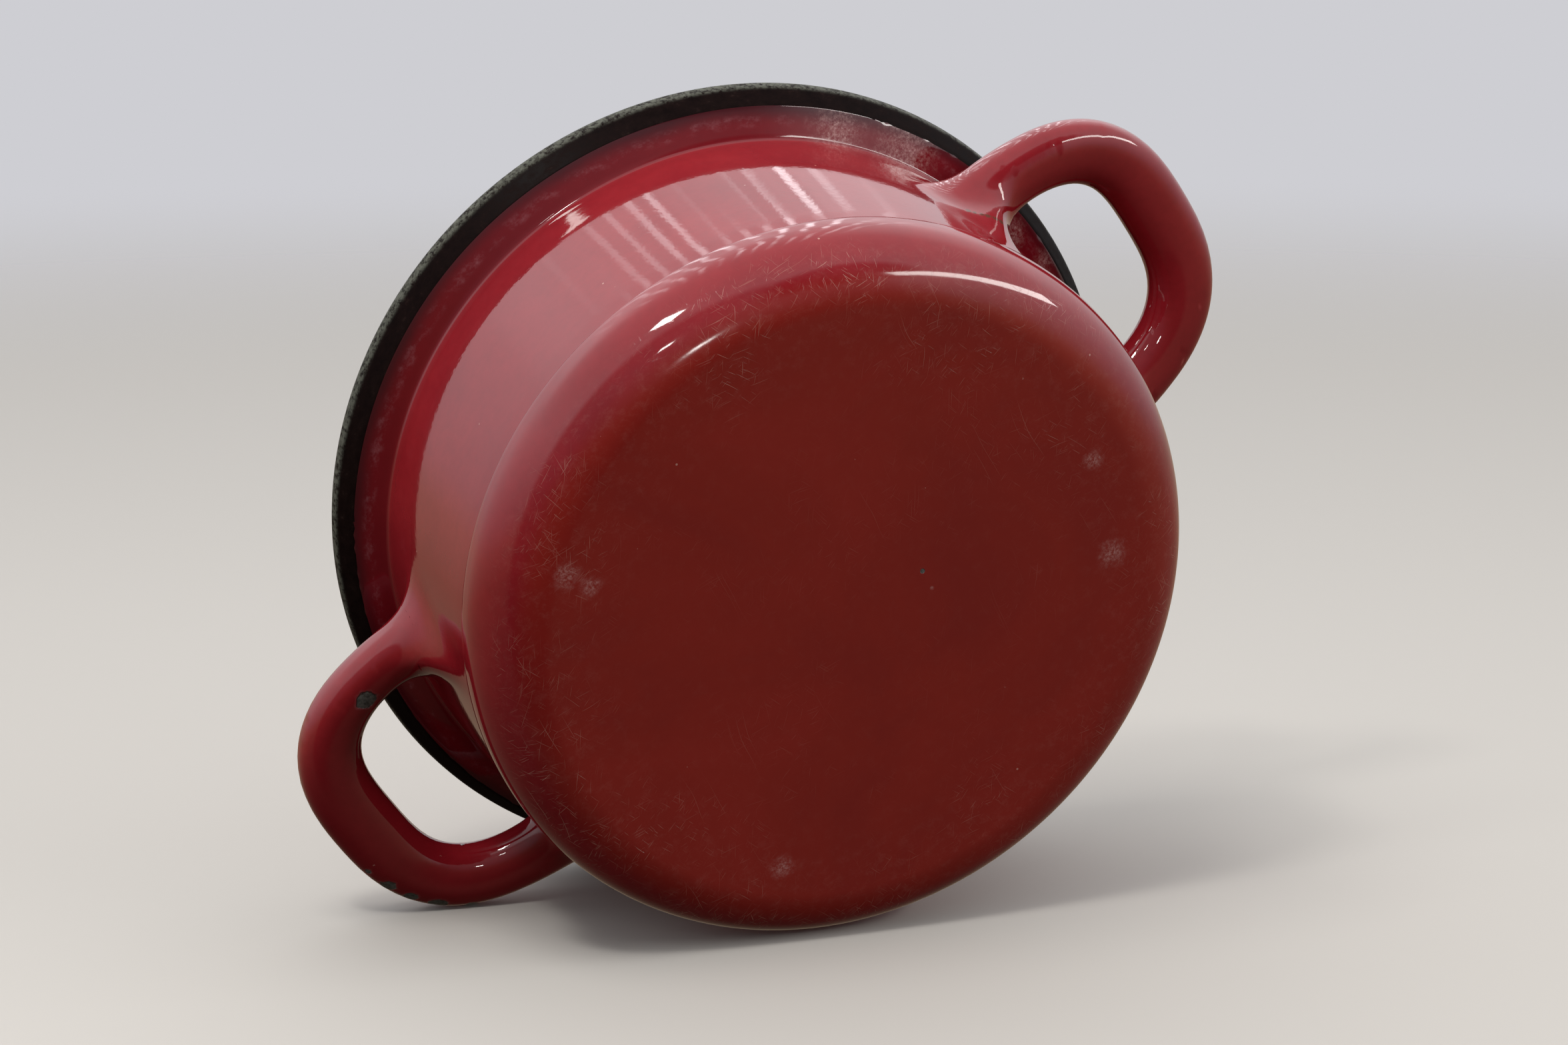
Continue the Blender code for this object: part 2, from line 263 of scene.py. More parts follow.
def blend_handles(obj):
    """Moves the vertices round the handles' roots onto a smooth blend of pot, web and bar.
    Returns each vertex's normal."""
    mesh = obj.data
    count = len(mesh.vertices)
    co = np.zeros(count * 3, np.float32)
    mesh.vertices.foreach_get("co", co)
    co = co.reshape(-1, 3).astype(float)
    normals = np.zeros(count * 3, np.float32)
    mesh.vertex_normals.foreach_get("vector", normals)
    normals = normals.reshape(-1, 3).astype(float)
    edges = np.zeros(len(mesh.edges) * 2, np.int32)
    mesh.edges.foreach_get("vertices", edges)
    edges = edges.reshape(-1, 2)
    degree = np.maximum(np.bincount(edges.ravel(), minlength=count), 1)[:, None]
    line = loop_line(60)
    for name, sign in (("right", 1), ("left", -1)):

        def field(p):
            a, b = pot_distance(p), bar_distance(p, line, ARMS[name])
            reach = FILLET * (1 - 0.6 * np.clip((p[:, 2] - 0.066) / 0.014, 0, 1))
            h = np.clip(reach - np.abs(a - b), 0, None) / reach
            return np.minimum(a, b) - h ** 3 * reach / 6

        def gradient(p, value):
            return np.stack([(field(p + d) - value) / NUDGE for d in np.eye(3) * NUDGE], 1)

        def settle(p, rounds):
            for _ in range(rounds):
                value = field(p)
                slope = gradient(p, value)
                step = value[:, None] * slope / (slope ** 2).sum(1)[:, None]
                size = np.linalg.norm(step, axis=1)[:, None]
                p = p - step * np.minimum(1, 0.003 / np.maximum(size, 1e-9))
            return p

        own = co * (sign, sign, 1)
        r = np.hypot(own[:, 0], own[:, 1])
        chosen = np.flatnonzero((own[:, 0] > 0.07) & (r > wall_radius(own[:, 2]) - SKIN)
                                & (own[:, 2] > BULGE_Z + 0.0015) & (own[:, 2] < RIM_Z - 0.004)
                                & (np.abs(own[:, 1]) < 0.072))
        chosen = chosen[np.abs(field(own[chosen])) > NUDGE]
        own[chosen] = settle(own[chosen], 6)
        for _ in range(SMOOTH_ROUNDS):
            total = np.zeros_like(own)
            np.add.at(total, edges[:, 0], own[edges[:, 1]])
            np.add.at(total, edges[:, 1], own[edges[:, 0]])
            own[chosen] += 0.5 * (total[chosen] / degree[chosen] - own[chosen])
            own[chosen] = settle(own[chosen], 1)
        own[chosen] = settle(own[chosen], 2)
        slope = gradient(own[chosen], field(own[chosen]))
        slope /= np.linalg.norm(slope, axis=1)[:, None]
        co[chosen] = own[chosen] * (sign, sign, 1)
        normals[chosen] = slope * (sign, sign, 1)
    mesh.vertices.foreach_set("co", co.astype(np.float32).ravel())
    mesh.update()
    return normals


def clean_seam(mesh):
    """Merges the slivers that the joins leave along the handles' roots, takes out the faces
    round edges that have more than two, and fills the gaps."""
    bm = bmesh.new()
    bm.from_mesh(mesh)
    root = [v for v in bm.verts if abs(v.co.x) > 0.075 and abs(v.co.y) < 0.065
            and BULGE_Z + 0.003 < v.co.z < FLARE_Z + 0.006
            and v.co.xy.length > wall_radius(v.co.z) - 0.001]
    bmesh.ops.remove_doubles(bm, verts=root, dist=SLIVER)
    bmesh.ops.dissolve_degenerate(bm, edges=bm.edges, dist=0.00002)
    crowded = {f for e in bm.edges if len(e.link_faces) > 2 for f in e.link_faces}
    bmesh.ops.delete(bm, geom=list(crowded), context="FACES")
    filled = bmesh.ops.holes_fill(bm, edges=[e for e in bm.edges if len(e.link_faces) == 1], sides=0)
    bmesh.ops.triangulate(bm, faces=filled["faces"])
    bmesh.ops.recalc_face_normals(bm, faces=bm.faces)
    bm.to_mesh(mesh)
    bm.free()


def build_pot():
    profile = np.concatenate([OUTSIDE, pot_inside()[1:]])
    pot = mesh_object("pot_enamelled", *lathe(profile, 360))
    bars = [handle_mesh("bar_" + name, sign, ARMS[name]) for name, sign in (("right", 1), ("left", -1))]
    for bar in bars:
        join = pot.modifiers.new(bar.name, "BOOLEAN")
        join.operation, join.solver, join.object = "UNION", "MANIFOLD", bar
    bpy.context.view_layer.update()
    shape = pot.evaluated_get(bpy.context.evaluated_depsgraph_get())
    mesh = bpy.data.meshes.new_from_object(shape)
    pot.modifiers.clear()
    for bar in bars:
        bpy.data.objects.remove(bar)
    pot.data = mesh
    clean_seam(mesh)
    mesh.shade_smooth()
    normals = blend_handles(pot)
    mesh.normals_split_custom_set_from_vertices(normals.tolist())
    return pot


def dome_z(r, offset):
    t = min(max((r - BOSS_R) / (DOME_R - BOSS_R), 0.0), 1.0)
    return SEAT_Z + GAP + LID_EDGE + DOME_H * (1 - t ** 2.2) - offset


def build_lid():
    bottom, top = SEAT_Z + GAP, SEAT_Z + GAP + LID_EDGE
    boss_top, boss_low = dome_z(0, 0) + 0.0008, dome_z(0, LID_T)
    radii = np.linspace(BOSS_R, DOME_R, 40)
    inner = radii[radii < SKIRT_IN - 0.004]
    corners = [(SCREW_HOLE_R, boss_low, 0, 1)] + [(r, dome_z(r, LID_T), 0, 1) for r in inner]
    corners += [(SKIRT_IN - 0.001, bottom, 0.0010, 1), (SKIRT_IN, bottom - SKIRT_H, 0.0008, 0.001),
                (SKIRT_OUT, bottom - SKIRT_H, 0.0010, 0.001), (SKIRT_OUT, bottom, 0.0006, 0.001),
                (LID_R, bottom, 0.0010, 0.002), (LID_R, top - 0.0002, 0.0016, 0.001),
                (DOME_R, dome_z(DOME_R, 0), 0.004, 0.001)]
    corners += [(r, dome_z(r, 0), 0, 1) for r in radii[-2:0:-1]]
    corners += [(BOSS_R + 0.001, dome_z(BOSS_R, 0), 0.0008, 1), (BOSS_R, boss_top, 0.0005, 0.001),
                (SCREW_HOLE_R, boss_top, 0, 0.003)]
    return mesh_object("lid_enamelled", *lathe(rounded(corners), 240, closed=True)), boss_top + GAP


def build_knob(foot):
    crown = foot + KNOB_H
    pocket = INSERT_R + GAP
    edge = crown - 0.0075
    corners = [
        (0, foot + INSERT_L + 2 * GAP, 0, 1), (pocket, foot + INSERT_L + 2 * GAP, 0, 0.002),
        (pocket, foot, 0.0004, 0.002), (KNOB_FOOT_R, foot, 0.0010, 0.001),
        (KNOB_FOOT_R - 0.0006, foot + 0.0024, 0.0025, 0.001),
        (KNOB_WAIST_R, foot + 0.0078, 0.0080, 0.001),
        (KNOB_WAIST_R + 0.0006, foot + 0.0140, 0.0050, 0.001),
        (KNOB_R - 0.0020, edge - 0.0042, 0.0022, 0.001), (KNOB_R, edge + 0.0004, 0.0050, 0.001),
        (KNOB_R - 0.0026, crown - 0.0022, 0.0045, 0.001), (0.0102, crown - 0.0003, 0.0200, 0.001),
        (0.0074, crown - 0.0009, 0.0020, 0.0006), (0, crown - 0.0009, 0, 0.001)]
    return mesh_object("knob_moulded", *lathe(rounded(corners), 128))


# ---------------------------------------------------------------- materials

def set_stops(ramp, stops):
    """Gives a colour ramp its (position, colour) stops."""
    elements = ramp.color_ramp.elements
    while len(elements) < len(stops):
        elements.new(0.5)
    for element, (position, colour) in zip(elements, stops):
        element.position, element.color = position, (*colour, 1.0)


class Paint:
    """A material whose nodes are added one call at a time."""

    def __init__(self, name):
        self.material = bpy.data.materials.new(name)
        self.material.use_nodes = True
        self.tree = self.material.node_tree
        self.shader = self.tree.nodes["Principled BSDF"]
        self.place = self.add("ShaderNodeTexCoord")["Object"]

    def add(self, kind, inputs=None, **settings):
        node = self.tree.nodes.new(kind)
        for key, value in settings.items():
            setattr(node, key, value)
        for key, value in (inputs or {}).items():
            self.put(node.inputs[key], value)
        return node.outputs

    def put(self, socket, value):
        if isinstance(value, bpy.types.NodeSocket):
            self.tree.links.new(value, socket)
        else:
            socket.default_value = value

    def noise(self, scale, detail=3.0, roughness=0.5, at=None, distortion=0.0):
        inputs = {"Vector": at or self.place, "Scale": scale, "Detail": detail,
                  "Roughness": roughness, "Distortion": distortion}
        return self.add("ShaderNodeTexNoise", inputs)["Fac"]

    def stretched(self, x, y, z, turn=(0, 0, 0)):
        return self.add("ShaderNodeMapping", {"Vector": self.place, "Scale": (x, y, z),
                                              "Rotation": turn})["Vector"]

    def maths(self, operation, a, b=0.0):
        return self.add("ShaderNodeMath", {0: a, 1: b}, operation=operation)["Value"]

    def band(self, value, start, end, low=0.0, high=1.0):
        return self.add("ShaderNodeMapRange", {"Value": value, "From Min": start, "From Max": end,
                                               "To Min": low, "To Max": high},
                        interpolation_type="SMOOTHSTEP")["Result"]

    def colour(self, amount, a, b, blend="MIX"):
        node = self.tree.nodes.new("ShaderNodeMix")
        node.data_type, node.blend_type = "RGBA", blend
        for index, value in ((0, amount), (6, a), (7, b)):
            self.put(node.inputs[index], value)
        return node.outputs[2]

    def ramp(self, value, stops):
        node = self.tree.nodes.new("ShaderNodeValToRGB")
        self.put(node.inputs["Fac"], value)
        set_stops(node, stops)
        return node.outputs["Color"]

    def spots(self, places, ragged, wobble, core=0.85):
        """1 inside any of the spheres (centre, radius) and 0 outside, with ragged edges.
        Core is the share of the radius at which a spot has its full strength."""
        found = None
        for point, size in places:
            gap = self.add("ShaderNodeVectorMath", {0: self.place, 1: point},
                           operation="DISTANCE")["Value"]
            shift = self.maths("MULTIPLY", self.maths("SUBTRACT", wobble, 0.5), ragged * size * 2)
            spot = self.band(self.maths("ADD", gap, shift), size, size * core)
            found = spot if found is None else self.maths("MAXIMUM", found, spot)
        return found

    def heights(self):
        return self.add("ShaderNodeSeparateXYZ", {"Vector": self.place})["Z"]

    def radius(self):
        flat = self.add("ShaderNodeVectorMath", {0: self.place, 1: (1, 1, 0)},
                        operation="MULTIPLY")["Vector"]
        return self.add("ShaderNodeVectorMath", {0: flat}, operation="LENGTH")["Value"]

    def bumps(self, *layers):
        """Chained bumps, each (height, depth in metres)."""
        normal = None
        for height, depth in layers:
            inputs = {"Height": height, "Distance": depth, "Strength": 1.0}
            if normal is not None:
                inputs["Normal"] = normal
            normal = self.add("ShaderNodeBump", inputs)["Normal"]
        self.put(self.shader.inputs["Normal"], normal)

    def finish(self, **inputs):
        for key, value in inputs.items():
            self.put(self.shader.inputs[key.replace("_", " ")], value)
        return self.material


def linear(r, g, b):
    """A linear colour from 0-255 display values."""
    return tuple((c / 255 / 12.92) if c <= 10 else ((c / 255 + 0.055) / 1.055) ** 2.4 for c in (r, g, b))


def rgba(r, g, b):
    return (*linear(r, g, b), 1.0)


def scratches(paint, turn, length, width, keep, warp):
    """Fine straight scratches that all run one way: 1 on a scratch."""
    spread = paint.add("ShaderNodeVectorMath", {0: paint.place, 1: warp}, operation="ADD")["Vector"]
    at = paint.add("ShaderNodeMapping", {"Vector": spread, "Scale": (length, width, 0.004),
                                         "Rotation": (0, 0, math.radians(turn))},
                   vector_type="TEXTURE")["Vector"]
    return paint.band(paint.noise(1.0, 1.0, 0.4, at), keep, keep + 0.03)


def burgundy(paint, patches, fine):
    """The glaze's red, uneven from two noises."""
    red = paint.ramp(patches, [(0.30, linear(113, 17, 25)), (0.52, linear(122, 21, 29)),
                               (0.72, linear(130, 27, 33))])
    return paint.colour(paint.band(fine, 0.35, 0.75, 0.0, 0.16), red, rgba(92, 12, 18))


def enamel_rim():
    """Dull black enamel of the rim, with a pale painted highlight along its lip."""
    p = Paint("black_enamel_rim")
    powder = p.noise(260.0, 6.0, 0.78, p.stretched(1, 1, 1.6))
    body = p.ramp(powder, [(0.35, linear(11, 5, 5)), (0.60, linear(19, 10, 9)),
                           (0.80, linear(44, 32, 29))])
    # a pale line along the lip, broken up by noise, is a painted highlight
    lip_highlight = p.maths("MULTIPLY", p.band(p.radius(), RIM_R - 0.0014, RIM_R - 0.0003),
                  p.band(p.heights(), 0.0915, 0.0930))
    wear_and_highlight = p.maths("MULTIPLY", lip_highlight, p.band(p.noise(700.0, 5.0, 0.75), 0.36, 0.60))
    body = p.colour(p.maths("MULTIPLY", wear_and_highlight, 0.6), body, rgba(104, 106, 96))
    p.bumps((powder, 0.00003), (p.noise(330.0, 2.0, 0.5), 0.00001))
    return p.finish(Base_Color=body, Roughness=p.band(powder, 0.35, 0.75, 0.36, 0.56), IOR=1.10)


def enamel_lid():
    """The same burgundy over the lid, with a few flecks and a dark edge."""
    p = Paint("burgundy_enamel_lid")
    radius = p.radius()
    patches, fine = p.noise(24.0, 4.0, 0.6), p.noise(420.0, 3.0, 0.6)
    body = burgundy(p, patches, fine)
    edge = p.maths("ADD", radius, p.maths("MULTIPLY", p.maths("SUBTRACT", patches, 0.5), 0.002))
    body = p.colour(p.band(edge, 0.1028, 0.1046), body, rgba(24, 16, 16))
    specks = p.add("ShaderNodeTexVoronoi", {"Vector": p.place, "Scale": 130.0})
    fleck = p.maths("MULTIPLY", p.band(specks["Distance"], 0.050, 0.025), p.band(fine, 0.56, 0.60))
    body = p.colour(p.maths("MULTIPLY", fleck, 0.4), body, rgba(190, 150, 138))
    p.bumps((p.noise(46.0, 0.5), 0.00008), (p.noise(330.0, 2.0, 0.5), 0.000006))
    return p.finish(Base_Color=body, Roughness=p.band(patches, 0.3, 0.7, 0.05, 0.10), IOR=1.52)


def enamel_outside():
    """Burgundy enamel, glossy all over, scratched under the base and darker towards the rim."""
    p = Paint("burgundy_enamel_aged")
    z, radius = p.heights(), p.radius()
    patches = p.noise(24.0, 4.0, 0.6)
    fine = p.noise(420.0, 3.0, 0.6)
    powder = p.noise(260.0, 6.0, 0.78, p.stretched(1, 1, 1.6))
    red = burgundy(p, patches, fine)

    # the flare darkens towards the black of the rim
    edge = p.maths("ADD", z, p.maths("MULTIPLY", p.maths("SUBTRACT", patches, 0.5), 0.002))
    red = p.colour(p.band(z, 0.0838, 0.0852, 0.0, 0.6), red, rgba(86, 10, 20))
    purple = p.band(edge, 0.0864, 0.0884)
    red = p.colour(p.maths("MULTIPLY", purple, 0.85), red, rgba(44, 16, 22))
    streaks = p.maths("MULTIPLY", p.band(p.noise(210.0, 5.0, 0.7, p.stretched(1, 1, 3.0)), 0.46, 0.84),
                      p.maths("MULTIPLY", p.band(z, 0.0859, 0.0865), p.band(z, 0.0876, 0.0869)))
    body = p.colour(p.maths("MULTIPLY", streaks, 0.26), red, rgba(168, 120, 128))

    # the base is a little browner, rubbed, and crossed by fine scratches
    base = p.band(z, 0.0040, 0.0003)
    stain = p.noise(14.0, 5.0, 0.62, None, 0.6)
    brown = p.ramp(stain, [(0.30, linear(116, 25, 23)), (0.50, linear(124, 28, 23)),
                           (0.72, linear(131, 31, 26))])
    body = p.colour(base, body, brown)
    bend = p.add("ShaderNodeTexNoise", {"Vector": p.place, "Scale": 22.0, "Detail": 2.0})["Color"]
    warp = p.add("ShaderNodeVectorMath", {0: bend, 1: (0.012, 0.012, 0)}, operation="MULTIPLY")["Vector"]
    lines = None
    for turn, length, width, keep in SCRATCHES:
        run = scratches(p, turn, length, width, keep, warp)
        lines = run if lines is None else p.maths("MAXIMUM", lines, run)
    # here the mask marks only wear: the patches where the base's scratches show
    wear_and_highlight = p.band(p.noise(26.0, 4.0, 0.65), 0.40, 0.66)
    ring = p.band(radius, 0.055, 0.084, 0.25, 1.0)
    low = p.band(z, 0.0120, 0.0030)
    lines = p.maths("MULTIPLY", lines, p.maths("MULTIPLY", p.maths("MULTIPLY", wear_and_highlight, ring), low))
    body = p.colour(p.maths("MULTIPLY", lines, 0.42), body, rgba(196, 150, 134))
    haze = p.maths("MULTIPLY", p.maths("MULTIPLY", p.band(powder, 0.46, 0.76), ring), low)
    body = p.colour(p.maths("MULTIPLY", haze, 0.08), body, rgba(176, 130, 120))

    # flecks, rubbed spots, a rusty crack at one handle's root, and chips down to the iron
    specks = p.add("ShaderNodeTexVoronoi", {"Vector": p.place, "Scale": 130.0})
    fleck = p.maths("MULTIPLY", p.band(specks["Distance"], 0.050, 0.025), p.band(fine, 0.56, 0.60))
    body = p.colour(p.maths("MULTIPLY", fleck, 0.55), body, rgba(190, 150, 138))
    ragged = p.noise(330.0, 4.0, 0.7)
    rub = p.maths("MULTIPLY", p.spots(RUBS, 0.5, ragged, 0.1),
                  p.band(p.noise(900.0, 6.0, 0.8), 0.36, 0.74))
    body = p.colour(p.maths("MULTIPLY", rub, 0.55), body, rgba(186, 150, 146))
    rust = p.maths("MULTIPLY", p.spots(CRACK, 0.8, ragged, 0.4), 0.9)
    body = p.colour(rust, body, rgba(74, 44, 30))
    torn = p.noise(300.0, 3.0, 0.6)
    halo = p.spots([(point, size * 1.25) for point, size in CHIPS], 0.5, torn, 0.6)
    body = p.colour(p.maths("MULTIPLY", halo, 0.35), body, rgba(140, 96, 98))
    chip = p.spots(CHIPS, 0.45, torn)
    iron = p.ramp(p.noise(1100.0, 4.0, 0.7), [(0.35, linear(34, 34, 33)), (0.62, linear(88, 88, 84))])
    body = p.colour(chip, body, iron)

    # gloss
    rough = p.maths("ADD", p.band(patches, 0.3, 0.7, 0.035, 0.060),
                    p.maths("MULTIPLY", base, p.band(stain, 0.3, 0.7, 0.04, 0.10)))
    rough = p.maths("ADD", rough, p.maths("MULTIPLY", p.maths("MAXIMUM", chip, rub), 0.4))
    peel = p.noise(330.0, 2.0, 0.5)
    side = p.maths("MULTIPLY", p.band(z, 0.0225, 0.0300), p.band(z, 0.0860, 0.0800))
    waves = p.maths("MULTIPLY", p.noise(46.0, 0.5, 0.5, p.stretched(1, 1, 0.3)), side)
    ripple = p.maths("MULTIPLY", p.noise(620.0, 1.0, 0.5), side)
    p.bumps((waves, 0.00014), (ripple, 0.000010), (peel, 0.000006),
            (p.maths("SUBTRACT", 1.0, lines), 0.00002), (p.maths("SUBTRACT", 1.0, chip), 0.0003))
    return p.finish(Base_Color=body, Roughness=rough, IOR=1.52)


def enamel_inside():
    """Matte black enamel with fine pale flecks."""
    p = Paint("matte_black_enamel")
    cloud = p.noise(34.0, 4.0, 0.6)
    body = p.ramp(cloud, [(0.3, linear(24, 23, 24)), (0.7, linear(38, 36, 36))])
    specks = p.add("ShaderNodeTexVoronoi", {"Vector": p.place, "Scale": 620.0})
    sparse = p.band(p.noise(500.0, 2.0, 0.5), 0.52, 0.60)
    fleck = p.maths("MULTIPLY", p.band(specks["Distance"], 0.16, 0.10), sparse)
    body = p.colour(p.maths("MULTIPLY", fleck, 0.6), body, rgba(122, 118, 116))
    pebble = p.noise(850.0, 3.0, 0.6)
    p.bumps((p.noise(160.0, 2.0), 0.00006), (pebble, 0.00004))
    return p.finish(Base_Color=body, Roughness=p.band(cloud, 0.3, 0.7, 0.34, 0.46))


def phenolic():
    """Moulded black phenolic with a faint swirl and handling marks."""
    p = Paint("black_phenolic_moulded")
    swirl = p.noise(90.0, 5.0, 0.65, p.stretched(1, 1, 3), 1.4)
    body = p.ramp(swirl, [(0.35, linear(20, 19, 20)), (0.7, linear(34, 32, 32))])
    marks = p.noise(520.0, 4.0, 0.7, p.stretched(1, 1, 5))
    p.bumps((marks, 0.00002), (p.noise(70.0, 2.0), 0.00006))
    return p.finish(Base_Color=body, Roughness=p.band(marks, 0.3, 0.7, 0.22, 0.36))


def turned_metal(name, low, high, roughness):
    """Turned metal with fine rings of machining and a light tarnish."""
    p = Paint(name)
    tarnish = p.noise(300.0, 4.0, 0.65)
    body = p.ramp(tarnish, [(0.32, low), (0.68, high)])
    rings = p.add("ShaderNodeTexWave",
                  {"Vector": p.place, "Scale": 1400.0, "Distortion": 1.5, "Detail": 2.0},
                  wave_type="RINGS", rings_direction="Z")["Fac"]
    p.bumps((rings, 0.000012), (tarnish, 0.00003))
    return p.finish(Base_Color=body, Metallic=1.0,
                    Roughness=p.band(tarnish, 0.3, 0.7, roughness, roughness + 0.18))


# ---------------------------------------------------------------- stage

def floor(name, up, centre, size):
    """A pale plane that only the camera sees, from one side, fading out with distance."""
    across = up.orthogonal().normalized()
    other = up.cross(across)
    verts = [centre + across * (size * a) + other * (size * b)
             for a, b in ((-1, -1), (1, -1), (1, 1), (-1, 1))]
    obj = mesh_object(name, [tuple(v) for v in verts], [(0, 1, 2, 3)])
    mat = bpy.data.materials.new(name + "_pale")
    mat.use_nodes = True
    tree = mat.node_tree
    shader = tree.nodes["Principled BSDF"]
    shader.inputs["Base Color"].default_value = FLOOR
    shader.inputs["Roughness"].default_value = 0.9
    shader.inputs["Specular IOR Level"].default_value = 0.1
    geometry = tree.nodes.new("ShaderNodeNewGeometry")
    place = tree.nodes.new("ShaderNodeVectorMath")
    place.operation = "DISTANCE"
    place.inputs[1].default_value = centre
    tree.links.new(geometry.outputs["Position"], place.inputs[0])
    fade = tree.nodes.new("ShaderNodeMapRange")
    fade.interpolation_type = "SMOOTHSTEP"
    for socket, value in (("From Min", size * 0.45), ("From Max", size * 0.95)):
        fade.inputs[socket].default_value = value
    tree.links.new(place.outputs["Value"], fade.inputs["Value"])
    hide = tree.nodes.new("ShaderNodeMath")
    hide.operation = "MAXIMUM"
    tree.links.new(fade.outputs["Result"], hide.inputs[0])
    tree.links.new(geometry.outputs["Backfacing"], hide.inputs[1])
    clear = tree.nodes.new("ShaderNodeBsdfTransparent")
    blend = tree.nodes.new("ShaderNodeMixShader")
    tree.links.new(hide.outputs["Value"], blend.inputs["Fac"])
    tree.links.new(shader.outputs["BSDF"], blend.inputs[1])
    tree.links.new(clear.outputs["BSDF"], blend.inputs[2])
    tree.links.new(blend.outputs["Shader"], tree.nodes["Material Output"].inputs["Surface"])
    obj.data.materials.append(mat)
    for ray in ("diffuse", "glossy", "transmission", "shadow", "volume_scatter"):
        setattr(obj, "visible_" + ray, False)


def studio(ahead):
    """A plain pale room: bright above the table and warm and dim below it, with soft upright
    stripes of light beyond the object, dimmer towards the camera and with a dark curtain to one
    side. The camera sees an even backdrop instead."""
    world = bpy.data.worlds.new("studio")
    bpy.context.scene.world = world
    world.use_nodes = True
    tree = world.node_tree
    tree.nodes.clear()

    def node(kind, inputs=None, **settings):
        made = tree.nodes.new(kind)
        for key, value in settings.items():
            setattr(made, key, value)
        for key, value in (inputs or {}).items():
            if isinstance(value, bpy.types.NodeSocket):
                tree.links.new(value, made.inputs[key])
            else:
                made.inputs[key].default_value = value
        return made.outputs

    def along(axis):
        return node("ShaderNodeVectorMath", {0: place, 1: axis}, operation="DOT_PRODUCT")["Value"]

    def band(value, start, end, low=0.0, high=1.0):
        return node("ShaderNodeMapRange", {"Value": value, "From Min": start, "From Max": end,
                                           "To Min": low, "To Max": high},
                    interpolation_type="SMOOTHSTEP")["Result"]

    place = node("ShaderNodeTexCoord")["Generated"]
    height = along(TABLE_UP)
    ramp = tree.nodes.new("ShaderNodeValToRGB")
    set_stops(ramp, [((level + 1) / 2, colour) for level, colour in ROOM])
    level = node("ShaderNodeMapRange", {"Value": height, "From Min": -1.0})["Result"]
    tree.links.new(level, ramp.inputs["Fac"])
    side = along(ahead.cross(TABLE_UP))
    comb = node("ShaderNodeCombineXYZ", {"X": side, "Y": height})["Vector"]
    wave = node("ShaderNodeTexWave", {"Vector": comb, "Scale": 5.2, "Distortion": 3.6, "Detail": 2.0,
                                      "Detail Scale": 1.1}, wave_type="BANDS", bands_direction="X")["Fac"]
    beyond = node("ShaderNodeMath", {0: band(along(ahead), 0.25, 0.55), 1: band(height, 0.35, 0.55)},
                  operation="MULTIPLY")["Value"]
    middle = node("ShaderNodeMath", {0: band(side, -0.62, -0.30), 1: band(side, 0.22, 0.02)},
                  operation="MULTIPLY")["Value"]
    drift = node("ShaderNodeTexNoise", {"Vector": comb, "Scale": 7.0, "Detail": 2.0})["Fac"]
    lit = node("ShaderNodeMath", {0: band(wave, 0.55, 1.0, -0.20, 3.0), 1: band(drift, 0.36, 0.62)},
               operation="MULTIPLY")["Value"]
    lines = node("ShaderNodeMath", {0: middle, 1: lit}, operation="MULTIPLY")["Value"]
    lifted = node("ShaderNodeMath", {0: lines, 1: 0.30}, operation="ADD")["Value"]
    stripes = node("ShaderNodeMath", {0: beyond, 1: lifted}, operation="MULTIPLY")["Value"]
    strength = node("ShaderNodeMath", {0: stripes, 1: band(along(-ahead), 0.60, 0.74, 1.0, 0.32)},
                   operation="ADD")["Value"]
    curtain = band(along(room_direction(ahead, *CURTAIN)), 0.945, 0.985, 1.0, 0.22)
    strength = node("ShaderNodeMath", {0: strength, 1: curtain}, operation="MULTIPLY")["Value"]
    room = node("ShaderNodeVectorMath", {0: ramp.outputs["Color"], "Scale": strength},
                operation="SCALE")["Vector"]
    seen = node("ShaderNodeMix", {0: node("ShaderNodeLightPath")["Is Camera Ray"], 6: room, 7: BACKDROP},
                data_type="RGBA")[2]
    background = node("ShaderNodeBackground", {"Color": seen})["Background"]
    node("ShaderNodeOutputWorld", {"Surface": background})


def room_direction(ahead, azimuth, elevation):
    """A direction in the object's frame: azimuth 0 is away from the camera and 90 to its right."""
    azimuth, elevation = math.radians(azimuth), math.radians(elevation)
    level = ahead * math.cos(azimuth) + ahead.cross(TABLE_UP) * math.sin(azimuth)
    return level * math.cos(elevation) + TABLE_UP * math.sin(elevation)


def softbox(name, direction, distance, width, height, power, mirrored):
    """An area light that faces the object from a direction, its width level with the table.
    One that is not mirrored lights the surfaces without showing in their gloss."""
    data = bpy.data.lights.new(name, "AREA")
    data.shape, data.size, data.size_y, data.energy = "RECTANGLE", width, height, power
    data.color = (1.0, 0.97, 0.93)
    obj = bpy.data.objects.new(name, data)
    bpy.context.scene.collection.objects.link(obj)
    side = TABLE_UP.cross(direction).normalized()
    turn = Matrix((side, direction.cross(side), direction)).transposed().to_4x4()
    obj.matrix_world = Matrix.Translation(Vector((0, 0, 0.05)) + direction * distance) @ turn
    obj.visible_camera = False
    obj.visible_glossy = mirrored


def place_camera():
    azimuth, elevation = math.radians(CAMERA_AZIMUTH), math.radians(CAMERA_ELEVATION)
    back = Vector((math.sin(azimuth) * math.cos(elevation), -math.cos(azimuth) * math.cos(elevation),
                   math.sin(elevation)))
    data = bpy.data.cameras.new("camera")
    data.lens, data.sensor_width = CAMERA_LENS, 36.0
    data.clip_start, data.clip_end = 0.05, 20.0
    camera = bpy.data.objects.new("camera", data)
    bpy.context.scene.collection.objects.link(camera)
    turn = back.to_track_quat("Z", "Y").to_matrix().to_4x4()
    camera.matrix_world = (Matrix.Translation(CAMERA_AIM + back * CAMERA_DISTANCE) @ turn
                           @ Matrix.Rotation(math.radians(CAMERA_ROLL), 4, "Z"))
    bpy.context.scene.camera = camera
    return camera
